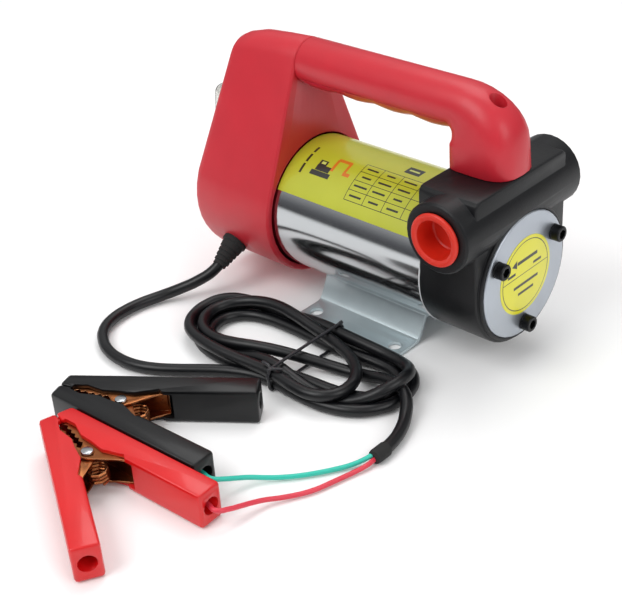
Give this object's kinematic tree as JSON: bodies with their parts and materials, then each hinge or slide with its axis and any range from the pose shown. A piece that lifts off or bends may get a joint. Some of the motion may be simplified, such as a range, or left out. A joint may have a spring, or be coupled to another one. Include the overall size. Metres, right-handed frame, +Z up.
{
  "type": "fluid transfer pump",
  "caption": "Portable direct-current fluid transfer pump with a carrying handle, capped side ports, a foot bracket and a lead with battery clips.",
  "frame": {"origin": "centre of the pump's footprint on the ground, without its cable", "axes": "+X along the motor's shaft towards the pump head, -Y out of the outlet port, +Z up"},
  "size_m": [0.2284, 0.323, 0.1548],
  "materials": {
    "red_abs": "fine moulded satin",
    "black_coat": "powder coat over a die casting",
    "plate": "machined, clear",
    "black_screw": "black oxide",
    "bright_steel": "polished",
    "tube": "polished stainless",
    "zinc": "bright zinc plate",
    "orange_plug": "polythene",
    "black_nylon": "satin",
    "black_rubber": "matt",
    "copper": "bare copper",
    "ferrite": "sintered ferrite",
    "laminations": "stacked steel sheet",
    "phenolic": "brown board",
    "clear_pvc": "clear soft vinyl",
    "cable_jacket": "satin PVC",
    "red_pvc": "wire insulation",
    "green_pvc": "wire insulation",
    "red_vinyl": "soft vinyl",
    "black_vinyl": "soft vinyl"
  },
  "bodies": {
    "pump": {"pump_head": "black_coat", "cover_plate": "plate", "cover_o_ring": "black_rubber", "cover_screw_1": "black_screw", "cover_screw_2": "black_screw", "cover_screw_3": "black_screw", "shaft_seal": "black_rubber", "motor_tube": "tube", "magnet_1": "ferrite", "magnet_2": "ferrite", "front_bearing": "bright_steel", "rear_bearing": "bright_steel", "brush_plate": "phenolic", "brush_1": "ferrite", "brush_2": "ferrite", "rear_end_bell": "black_nylon", "tie_bolt_1": "bright_steel", "tie_bolt_2": "bright_steel", "foot_bracket": "zinc", "rear_housing": "red_abs", "handle_shell": "red_abs", "handle_insert": "red_abs", "handle_screw": "bright_steel", "housing_screw_1": "bright_steel", "housing_screw_2": "bright_steel", "switch_body": "black_nylon", "switch_boot": "clear_pvc", "cable_grommet": "black_rubber", "cable_lead": "cable_jacket", "cable_hank": "cable_jacket", "cable_tie": "black_nylon", "cable_tail": "cable_jacket", "red_wire": "red_pvc", "green_wire": "green_pvc", "red_clip_fixed_shell": "red_vinyl", "red_clip_fixed_jaw": "copper", "red_clip_rivet": "bright_steel", "red_clip_spring": "bright_steel", "black_clip_fixed_shell": "black_vinyl", "black_clip_fixed_jaw": "copper", "black_clip_rivet": "bright_steel", "black_clip_spring": "bright_steel"},
    "rotor": {"armature_core": "laminations", "armature_winding": "copper", "commutator": "copper", "motor_shaft": "bright_steel", "pump_rotor": "bright_steel", "vane_1": "black_nylon", "vane_2": "black_nylon", "vane_3": "black_nylon", "vane_4": "black_nylon", "vane_5": "black_nylon"},
    "rocker": {"switch_rocker": "red_abs"},
    "outlet_cap": {"outlet_plug": "orange_plug"},
    "inlet_cap": {"inlet_plug": "orange_plug"},
    "red_clip_arm": {"red_clip_moving_shell": "red_vinyl", "red_clip_moving_jaw": "copper"},
    "black_clip_arm": {"black_clip_moving_shell": "black_vinyl", "black_clip_moving_jaw": "copper"}
  },
  "joints": [
    {"name": "shaft_spin", "type": "hinge", "parent": "pump", "child": "rotor", "pos_m": [0, 0, 0.054], "axis": [1, 0, 0], "continuous": true},
    {"name": "switch_rock", "type": "hinge", "parent": "pump", "child": "rocker", "pos_m": [-0.09842, 0, 0.09677], "axis": [0, 1, 0], "range_deg": [0, 16]},
    {"name": "outlet_cap_pull", "type": "slide", "parent": "pump", "child": "outlet_cap", "axis": [0, -1, 0], "range_m": [0, 0.03]},
    {"name": "inlet_cap_pull", "type": "slide", "parent": "pump", "child": "inlet_cap", "axis": [0, 1, 0], "range_m": [0, 0.03]},
    {"name": "red_clip_open", "type": "hinge", "parent": "pump", "child": "red_clip_arm", "pos_m": [0.0016, -0.2179, 0.01], "axis": [0, 0, 1], "range_deg": [0, 22], "stiffness_Nm_per_rad": 0.6, "springref_deg": -20.05},
    {"name": "black_clip_open", "type": "hinge", "parent": "pump", "child": "black_clip_arm", "pos_m": [-0.0188, -0.179, 0.01], "axis": [0, 0, -1], "range_deg": [0, 22], "stiffness_Nm_per_rad": 0.6, "springref_deg": -20.05}
  ]
}
